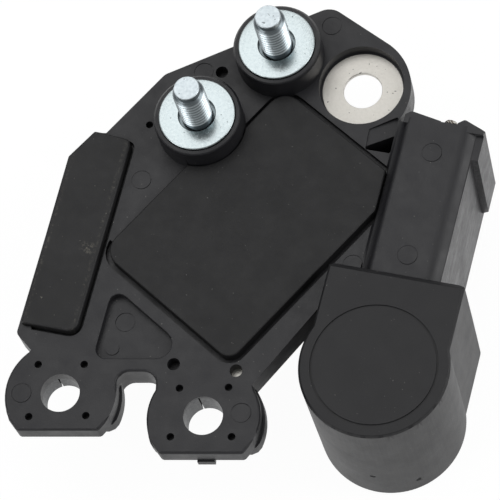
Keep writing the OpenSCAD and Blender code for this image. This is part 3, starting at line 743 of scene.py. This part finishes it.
for node, x, y, ring_depth in STUDS:
    plate, tree, shader, local, marked = plated_metal(
        "blue_zinc_plate_" + node,
        "#c9d1d1",
        "#b6c3c7",
        (x, y),
        roughness=0.22,
        ring_depth_mm=ring_depth,
    )
    # Painted shade in the flange's groove
    paint_groove_shade(tree, shader, local, marked, GROOVE_R + 0.03, GROOVE_R - 0.01, 0.0)
    thread_plate, tree, shader, local, marked = plated_metal(
        "blue_zinc_thread_" + node, "#dbe3e6", "#c8d4da", (x, y), roughness=0.3
    )
    # Painted shade in the thread's roots, and at its foot down in the groove
    paint_groove_shade(tree, shader, local, marked, GROOVE_SHADE_FROM_R, GROOVE_SHADE_TO_R, FLANGE_TOP + 0.25)
    tip_plate = plated_metal(
        "blue_zinc_tip_" + node, "#dbe3e6", "#b9c4ca", (x, y), roughness=0.36
    )[0]

    # Flange with its run-out groove: a disc whose top is inset, sunk and inset again
    bpy.ops.object.select_all(action="DESELECT")
    bpy.ops.mesh.primitive_cylinder_add(
        vertices=96,
        radius=FLANGE_R * mm,
        depth=FLANGE_H * mm,
        location=(x * mm, y * mm, (FLANGE_TOP - FLANGE_H / 2) * mm),
    )
    flange = bpy.context.object
    flange.name = node + "_flange"
    flange.data.name = flange.name
    bpy.ops.object.transform_apply(location=True, rotation=True, scale=True)
    edge = flange.modifiers.new("headed_edge", "BEVEL")
    edge.width = FLANGE_EDGE * mm
    edge.segments = 3
    edge.limit_method = "ANGLE"
    bpy.ops.object.modifier_apply(modifier="headed_edge")
    pick_faces(flange, lambda normal, centre: normal.z > 0.99)
    bpy.ops.mesh.inset(thickness=(FLANGE_R - FLANGE_EDGE - GROOVE_R - GROOVE_LIP) * mm)
    bpy.ops.mesh.inset(thickness=GROOVE_LIP * mm, depth=-GROOVE_LIP_DROP * mm)
    bpy.ops.mesh.inset(thickness=0.02 * mm, depth=-GROOVE_DEPTH * mm)
    bpy.ops.mesh.inset(thickness=0.7 * mm)
    bpy.ops.object.mode_set(mode="OBJECT")
    bpy.ops.object.shade_smooth_by_angle(angle=math.radians(32))
    set_materials(flange, plate)
    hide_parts(node)
    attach(flange, "housing")

    # Threaded bar: one pitch of the M5 profile is extruded from a point and screwed up the axis
    bpy.ops.object.select_all(action="DESELECT")
    bpy.ops.mesh.primitive_plane_add(
        size=0.1 * mm, location=(THREAD_ROOT_R * mm, 0, THREAD_FOOT * mm)
    )
    thread = bpy.context.object
    thread.name = node + "_thread"
    thread.data.name = thread.name
    bpy.ops.object.transform_apply(location=True, rotation=True, scale=True)
    bpy.ops.object.mode_set(mode="EDIT")
    bpy.ops.mesh.select_mode(type="VERT")
    bpy.ops.mesh.merge(type="CENTER")
    for out, rise in THREAD_PROFILE:
        bpy.ops.mesh.extrude_vertices_move(
            TRANSFORM_OT_translate={"value": (out * mm, 0, rise * mm)}
        )
    bpy.ops.object.mode_set(mode="OBJECT")
    turns = thread.modifiers.new("turns", "SCREW")
    turns.axis = "Z"
    turns.steps = THREAD_STEPS
    turns.render_steps = THREAD_STEPS
    turns.iterations = THREAD_TURNS
    turns.screw_offset = THREAD_PITCH * mm
    turns.use_merge_vertices = False
    bpy.ops.object.modifier_apply(modifier="turns")
    bpy.ops.object.mode_set(mode="EDIT")
    bpy.ops.mesh.select_all(action="SELECT")
    bpy.ops.mesh.remove_doubles(threshold=0.002 * mm)
    # It is cut off level with the groove's floor and a little above the stud's top
    floor_z = FLANGE_TOP - GROOVE_LIP_DROP - GROOVE_DEPTH
    for height, way in ((floor_z, -1), (STUD_TOP + 0.4, 1)):
        bpy.ops.mesh.select_all(action="SELECT")
        bpy.ops.mesh.bisect(
            plane_co=(0, 0, height * mm),
            plane_no=(0, 0, way),
            use_fill=True,
            clear_outer=True,
            threshold=0.001 * mm,
        )
    bpy.ops.mesh.select_all(action="SELECT")
    bpy.ops.mesh.normals_make_consistent(inside=False)
    bpy.ops.object.mode_set(mode="OBJECT")

    # The point is turned down to a plain neck: what lies outside this shape is cut off the bar
    bpy.ops.object.select_all(action="DESELECT")
    turned_end = STUD_TOP - POINT_H - POINT_CHAMFER
    bpy.ops.mesh.primitive_cylinder_add(
        vertices=64,
        radius=TURNED_R * mm,
        depth=(turned_end - TURNED_START) * mm,
        location=(0, 0, (turned_end + TURNED_START) / 2 * mm),
    )
    turned = bpy.context.object
    bpy.ops.object.transform_apply(location=True, rotation=True, scale=True)
    pick_faces(turned, lambda normal, centre: normal.z > 0.99)
    bpy.ops.mesh.inset(thickness=(TURNED_R - POINT_R) * mm, depth=POINT_CHAMFER * mm)
    rise = (0, 0, (POINT_H - POINT_EDGE) * mm)
    bpy.ops.mesh.extrude_region_move(TRANSFORM_OT_translate={"value": rise})
    bpy.ops.mesh.inset(thickness=POINT_EDGE * mm, depth=POINT_EDGE * mm)
    bpy.ops.object.mode_set(mode="OBJECT")
    select_only(thread)
    chamfer = thread.modifiers.new("turned_point", "BOOLEAN")
    chamfer.operation = "INTERSECT"
    chamfer.solver = "EXACT"
    chamfer.object = turned
    bpy.ops.object.modifier_apply(modifier="turned_point")
    bpy.data.objects.remove(turned)
    thread.data.transform(Matrix.Translation((x * mm, y * mm, 0)))
    bpy.ops.object.shade_smooth_by_angle(angle=math.radians(28))
    set_materials(thread, thread_plate, tip_plate)
    for face in thread.data.polygons:
        if face.center.z > (STUD_TOP - POINT_H) * mm:
            face.material_index = 1
    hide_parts(node)
    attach(thread, "housing")

# The ring terminal: the bare eye of a stamped brass strip, tin plated to a soft warm white.
# It lies in a round recess, and its punched edges are a little rounded.


def edged_copy(node, name, edge_mm):
    """A CAD node's shape as a new piece with its sharp edges broken."""
    piece = node_copy(node, name)
    join_flats(piece)
    edge = piece.modifiers.new("broken_edge", "BEVEL")
    edge.width = edge_mm * mm
    edge.segments = 2
    edge.limit_method = "ANGLE"
    edge.angle_limit = math.radians(35)
    bpy.ops.object.modifier_apply(modifier="broken_edge")
    bpy.ops.object.shade_smooth_by_angle(angle=math.radians(48))
    flats = piece.modifiers.new("flat_faces", "WEIGHTED_NORMAL")
    flats.keep_sharp = True
    flats.weight = 90
    bpy.ops.object.modifier_apply(modifier="flat_faces")
    return piece


RING_CENTRE = (10.7, 58.3)
PUNCHED_EDGE = 0.08
tinned = plated_metal(
    "matte_tin_plate",
    "#e4e1da",
    "#dad7d0",
    RING_CENTRE,
    roughness=0.47,
    ring_depth_mm=0.0004,
    metallic=0.85,
)[0]
ring = edged_copy("ring_terminal", "ring_eye", PUNCHED_EDGE)
set_materials(ring, tinned)
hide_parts("ring_terminal")
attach(ring, "housing")

# The ear bushings: steel strip rolled into a split tube, which takes the bolt's load.
# Rolled steel keeps a satin grey finish with the split showing as a dark line.

rolled_steel = plated_metal("rolled_steel", "#6b6c6d", "#4c4d4e", (0, 0), roughness=0.42)[0]
for node in ("left_ear_bushing", "right_ear_bushing"):
    bushing = edged_copy(node, node.replace("bushing", "limiter"), PUNCHED_EDGE)
    set_materials(bushing, rolled_steel)
    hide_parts(node)
    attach(bushing, "housing")

# The brush gear: two carbon brushes on coil springs, with braided copper leads that come out
# through a small cover at the end of the box and are welded to the strips there.

# Each brush and the height of its middle
BRUSHES = [("upper", 0.0), ("lower", -9.6)]
BRUSH_X = 24.5
BRUSH_TAIL = 30.6
BRUSH_EDGE = 0.25
COVER_Y = 51.2

# Pressed carbon with copper powder in it: dark grey, with a fine grit and dull coppery glints
carbon, tree, shader = new_material("pressed_copper_graphite", "#2c2a29", 0.42, specular=0.6)
place = add(tree, "ShaderNodeTexCoord").outputs["Object"]
grit = add(
    tree, "ShaderNodeTexNoise", {"Vector": place, "Scale": 1 / (0.12 * mm), "Detail": 3.0}
).outputs["Fac"]
glint = add(
    tree,
    "ShaderNodeMapRange",
    {"Value": grit, "From Min": 0.55, "From Max": 0.75, "To Max": 0.7},
).outputs["Result"]
copper_fleck = add(
    tree, "ShaderNodeMix", {0: glint, 6: srgb("#2c2a29"), 7: srgb("#6b4f40")}, data_type="RGBA"
).outputs[2]
tree.links.new(copper_fleck, shader.inputs["Base Color"])
pressed = add(
    tree, "ShaderNodeBump", {"Height": grit, "Distance": 0.01 * mm}
).outputs["Normal"]
tree.links.new(pressed, shader.inputs["Normal"])

for side, z in BRUSHES:
    body = side + "_brush"
    brush = edged_copy(body, side + "_carbon_brush", BRUSH_EDGE)
    set_materials(brush, carbon)
    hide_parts(body)
    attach(brush, body)

# Springs: round drawn wire, bare and grey, wound in nine turns.
SPRING_R = 1.88
SPRING_WIRE_R = 0.22
SPRING_START = 30.9
SPRING_TURNS = 9
spring_wire = plated_metal(
    "drawn_spring_wire", "#9fa2a5", "#8a8d90", (BRUSH_X, 0), roughness=0.35
)[0]


def round_wire(name, points, radius_mm):
    """A wire of round section along a smooth path, made a mesh with closed ends."""
    path = bpy.data.curves.new(name, "CURVE")
    path.dimensions = "3D"
    line = path.splines.new("NURBS")
    line.points.add(len(points) - 1)
    for point, place in zip(line.points, points):
        point.co = (*(part * mm for part in place), 1)
    line.order_u = 3
    line.use_endpoint_u = True
    line.resolution_u = 8
    path.bevel_depth = radius_mm * mm
    path.bevel_resolution = 3
    path.use_fill_caps = True
    wire = bpy.data.objects.new(name, path)
    bpy.context.scene.collection.objects.link(wire)
    select_only(wire)
    bpy.ops.object.convert(target="MESH")
    wire = bpy.context.object
    bpy.ops.object.mode_set(mode="EDIT")
    bpy.ops.mesh.select_all(action="SELECT")
    bpy.ops.mesh.remove_doubles(threshold=0.002 * mm)
    bpy.ops.mesh.normals_make_consistent(inside=False)
    bpy.ops.object.mode_set(mode="OBJECT")
    bpy.ops.object.shade_smooth_by_angle(angle=math.radians(50))
    return wire


for side, z in BRUSHES:
    length = COVER_Y - SPRING_START - 2 * SPRING_WIRE_R
    coils = []
    for step in range(SPRING_TURNS * 16 + 1):
        angle = math.radians(step * 22.5)
        # The first and last turns lie closer together, as a ground end does
        share = step / (SPRING_TURNS * 16)
        share = share - 0.035 * math.sin(share * 2 * math.pi)
        coils.append(
            (
                BRUSH_X + SPRING_R * math.cos(angle),
                SPRING_START + SPRING_WIRE_R + length * share,
                z + SPRING_R * math.sin(angle),
            )
        )
    spring = round_wire(side + "_coil_spring", coils, SPRING_WIRE_R)
    set_materials(spring, spring_wire)
    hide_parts(side + "_brush_spring")
    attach(spring, "housing")
    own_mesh(spring)

# Leads: tinned copper braid. Inside the spring a lead runs slack from the brush to the cover,
# and outside it is bent over the end of the box and welded to its strip.
braid, tree, shader = new_material("tinned_copper_braid", "#b9b5ad", 0.42, metallic=1.0)
place = add(tree, "ShaderNodeTexCoord").outputs["Object"]
# Braid strands about 0.2 mm wide: at scale 1 this texture's bands are 0.36 m apart
strands = add(
    tree,
    "ShaderNodeTexWave",
    {"Vector": place, "Scale": 1 / (0.16 * mm) / 6.3, "Distortion": 4.0, "Detail": 2.0},
    bands_direction="DIAGONAL",
).outputs["Fac"]
oxidised = add(
    tree, "ShaderNodeMix", {0: strands, 6: srgb("#6e6259"), 7: srgb("#cfccc5")}, data_type="RGBA"
).outputs[2]
tree.links.new(oxidised, shader.inputs["Base Color"])
woven = add(
    tree, "ShaderNodeBump", {"Height": strands, "Distance": 0.04 * mm}
).outputs["Normal"]
tree.links.new(woven, shader.inputs["Normal"])

# Each lead: which it is, how high it comes out, how high its weld is, and its bends between
# them, as x and y from where it comes out and the height
END_Y = 53.2
LEAD_R = 0.4
LEAD_Y = END_Y + LEAD_R + 0.15
WELD_X = 19.7
WELD_SIZE = (1.3, 0.7, 1.3)
LEADS = [
    (
        "upper",
        0.0,
        2.8,
        [(2.3, 0, 1.6), (2.6, 0.1, 5.6), (2.3, 0.1, 6.6), (1.2, 0.1, 6.6), (0.8, 0, 4.2)],
    ),
    ("lower", -9.6, -9.6, [(-0.8, 0, -9.6)]),
]
for side, z, weld_z, bends in LEADS:
    slack = [
        (
            BRUSH_X + 0.5 * math.sin(step * 1.1),
            BRUSH_TAIL - 0.4 + step * 2.1,
            z + 0.5 * math.cos(step * 0.8) - 0.5,
        )
        for step in range(11)
    ]
    inner = round_wire(side + "_lead_inside", slack, LEAD_R)
    set_materials(inner, braid)
    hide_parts(side + "_brush_lead")
    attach(inner, "housing")
    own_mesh(inner)
    loop = [(BRUSH_X, COVER_Y - 0.1, z), (BRUSH_X, COVER_Y + 1.6, z), (BRUSH_X, LEAD_Y, z)]
    loop += [(BRUSH_X + x, LEAD_Y + y, height) for x, y, height in bends]
    loop += [(WELD_X + 1.2, LEAD_Y, weld_z), (WELD_X, LEAD_Y, weld_z)]
    outer = round_wire(side + "_lead_outside", loop, LEAD_R)
    set_materials(outer, braid)
    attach(outer, "housing")

    # Weld: a pad pressed flat between electrodes, with a dished middle
    bpy.ops.object.select_all(action="DESELECT")
    bpy.ops.mesh.primitive_cube_add(
        size=1,
        location=(WELD_X * mm, (END_Y + WELD_SIZE[1] / 2) * mm, weld_z * mm),
        scale=[part * mm for part in WELD_SIZE],
    )
    weld = bpy.context.object
    weld.name = side + "_weld"
    weld.data.name = weld.name
    bpy.ops.object.transform_apply(location=True, rotation=True, scale=True)
    pick_faces(weld, lambda normal, centre: normal.y > 0.9)
    bpy.ops.mesh.inset(thickness=0.25 * mm, depth=-0.12 * mm)
    bpy.ops.object.mode_set(mode="OBJECT")
    edge = weld.modifiers.new("pressed_edge", "BEVEL")
    edge.width = 0.12 * mm
    edge.segments = 3
    bpy.ops.object.modifier_apply(modifier="pressed_edge")
    bpy.ops.object.shade_smooth_by_angle(angle=math.radians(40))
    set_materials(weld, braid)
    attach(weld, "housing")

# The end cover closes the box behind the springs. It is moulded in the lids' plastic, so it is
# as dull as they are, and it is pressed in.
COVER_EDGE = 0.12
end_cover = edged_copy("brush_end_cover", "brush_gear_cover", COVER_EDGE)
set_materials(end_cover, lid_plastic)
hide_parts("brush_end_cover")
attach(end_cover, "housing")

# The strips: stamped brass, tin plated pale so that it welds, with the housing moulded round
# them. Their ends show only through small gauge holes and at the end of the brush box.

strip_metal = plated_metal("tinned_strip", "#d9d7d0", "#c4c2ba", (0, 0), roughness=0.35)[0]
for node in (
    "upper_brush_strip",
    "lower_brush_strip",
    "left_stud_strip",
    "right_stud_strip",
    "ground_strip",
):
    set_materials(nodes[node], strip_metal)

# The circuit: a ceramic plate with chips, bonded to an aluminium heat sink that is level with
# the housing's underside, all under soft clear gel. Only the heat sink can be seen.

# Rolled aluminium is a pale satin grey, and the faint rings are left from facing it
SINK_CENTRE = (-0.65, 32.75)
heat_sink_metal = plated_metal(
    "rolled_aluminium", "#c4c6c8", "#aeb1b4", SINK_CENTRE, roughness=0.4
)[0]
set_materials(nodes["heat_sink"], heat_sink_metal)


def speckled(name, colour, fleck, size_mm, roughness, depth_mm):
    """A fired, moulded or poured material: two tones in a fine speckle, a little uneven."""
    material, tree, shader = new_material(name, colour, roughness)
    place = add(tree, "ShaderNodeTexCoord").outputs["Object"]
    grain = add(
        tree,
        "ShaderNodeTexNoise",
        {"Vector": place, "Scale": 1 / (size_mm * mm), "Detail": 3.0, "Roughness": 0.6},
    ).outputs["Fac"]
    flecked = add(
        tree, "ShaderNodeMix", {0: grain, 6: srgb(colour), 7: srgb(fleck)}, data_type="RGBA"
    ).outputs[2]
    tree.links.new(flecked, shader.inputs["Base Color"])
    uneven = add(
        tree, "ShaderNodeBump", {"Height": grain, "Distance": depth_mm * mm}
    ).outputs["Normal"]
    tree.links.new(uneven, shader.inputs["Normal"])
    return material


# Fired alumina is chalky with grains 0.1 mm wide, chip epoxy black and fine, the capacitor's
# lacquer glossy with a slow ripple, and the gel a clouded blue grey with a wet face
alumina = speckled("fired_alumina", "#e2dfd4", "#d2cec0", 0.1, 0.7, 0.004)
chip_epoxy = speckled("chip_epoxy", "#161618", "#242427", 0.08, 0.5, 0.003)
capacitor_film = speckled("capacitor_lacquer", "#b5752d", "#9d6222", 0.8, 0.3, 0.01)
gel = speckled("silicone_gel", "#8f9b9e", "#7f8b8f", 2.5, 0.15, 0.05)
set_materials(nodes["circuit_substrate"], alumina)
for node in ("regulator_chip", "power_transistor", "freewheel_diode"):
    set_materials(nodes[node], chip_epoxy)
set_materials(nodes["suppression_capacitor"], capacitor_film)
set_materials(nodes["potting_gel"], gel)

# The studio: a pale floor just under the part, a soft white surround and large soft lamps.
# The camera stands where the photograph was taken from, far off behind a long lens.

FLOOR_Z = -17
bpy.ops.object.select_all(action="DESELECT")
bpy.ops.mesh.primitive_plane_add(size=3.0, location=(0, 0, FLOOR_Z * mm))
floor = bpy.context.object
floor.name = "studio_floor"
# White paper: to the rays that look straight at it, most of it glows white, and the part that
# doesn't keeps the shadow
paper, tree, shader = new_material("white_paper", "#f2f2f2", 0.9)
seen = add(tree, "ShaderNodeLightPath")
bright_paper = add(tree, "ShaderNodeEmission", {"Color": (1, 1, 1, 1), "Strength": 1.04})
straight = add(
    tree,
    "ShaderNodeMath",
    {0: seen.outputs["Is Camera Ray"], 1: seen.outputs["Is Glossy Ray"]},
    operation="MAXIMUM",
).outputs[0]
straight = add(
    tree,
    "ShaderNodeMath",
    {0: straight, 1: seen.outputs["Is Transmission Ray"]},
    operation="MAXIMUM",
).outputs[0]
glow = add(tree, "ShaderNodeMath", {0: straight, 1: 0.92}, operation="MULTIPLY").outputs[0]
mixed = add(
    tree, "ShaderNodeMixShader", {0: glow, 1: shader.outputs[0], 2: bright_paper.outputs[0]}
)
tree.links.new(mixed.outputs[0], tree.nodes["Material Output"].inputs["Surface"])
set_materials(floor, paper)

world = bpy.data.worlds.new("soft_surround")
bpy.context.scene.world = world
world.use_nodes = True
tree = world.node_tree
backing = tree.nodes["Background"]
backing.inputs["Color"].default_value = (1, 1, 1, 1)
backing.inputs["Strength"].default_value = 0.30
seen = add(tree, "ShaderNodeLightPath")
white = add(tree, "ShaderNodeBackground", {"Color": (1, 1, 1, 1), "Strength": 1.0})
straight = add(
    tree,
    "ShaderNodeMath",
    {0: seen.outputs["Is Camera Ray"], 1: seen.outputs["Is Transmission Ray"]},
    operation="MAXIMUM",
).outputs[0]
mixed = add(tree, "ShaderNodeMixShader", {0: straight, 1: backing.outputs[0], 2: white.outputs[0]})
tree.links.new(mixed.outputs[0], tree.nodes["World Output"].inputs["Surface"])

# Each lamp: where it hangs, how wide it is, and how bright its face is, where 1 is white
LAMPS = [
    ("softbox_above", (-0.16, 0.24, 0.56), 0.46, 1.25),
    ("softbox_right", (0.46, 0.16, 0.36), 0.38, 2.6),
    ("softbox_left", (-0.34, -0.30, 0.40), 0.30, 2.6),
]
target = Vector((0, 0.03, 0))
for name, spot, size, brightness in LAMPS:
    lamp = bpy.data.lights.new(name, "AREA")
    lamp.shape = "SQUARE"
    lamp.size = size
    lamp.energy = math.pi * size * size * brightness
    holder = bpy.data.objects.new(name, lamp)
    holder.location = spot
    holder.rotation_euler = (Vector(spot) - target).to_track_quat("Z", "Y").to_euler()
    bpy.context.scene.collection.objects.link(holder)

camera = bpy.data.cameras.new("photo_camera")
camera.lens = 219.84
camera.sensor_width = 36
camera.clip_start = 0.01
camera.clip_end = 10
viewer = bpy.data.objects.new("photo_camera", camera)
right = Vector((0.956675, 0.246485, -0.154980))
up = Vector((-0.170445, 0.905656, 0.388247))
back = Vector((0.236056, -0.345011, 0.908430))
turn = Matrix((right, up, back)).transposed().to_4x4()
viewer.matrix_world = Matrix.Translation((0.111576, -0.134902, 0.433427)) @ turn
bpy.context.scene.collection.objects.link(viewer)
bpy.context.scene.camera = viewer
bpy.context.scene.view_settings.view_transform = "Standard"
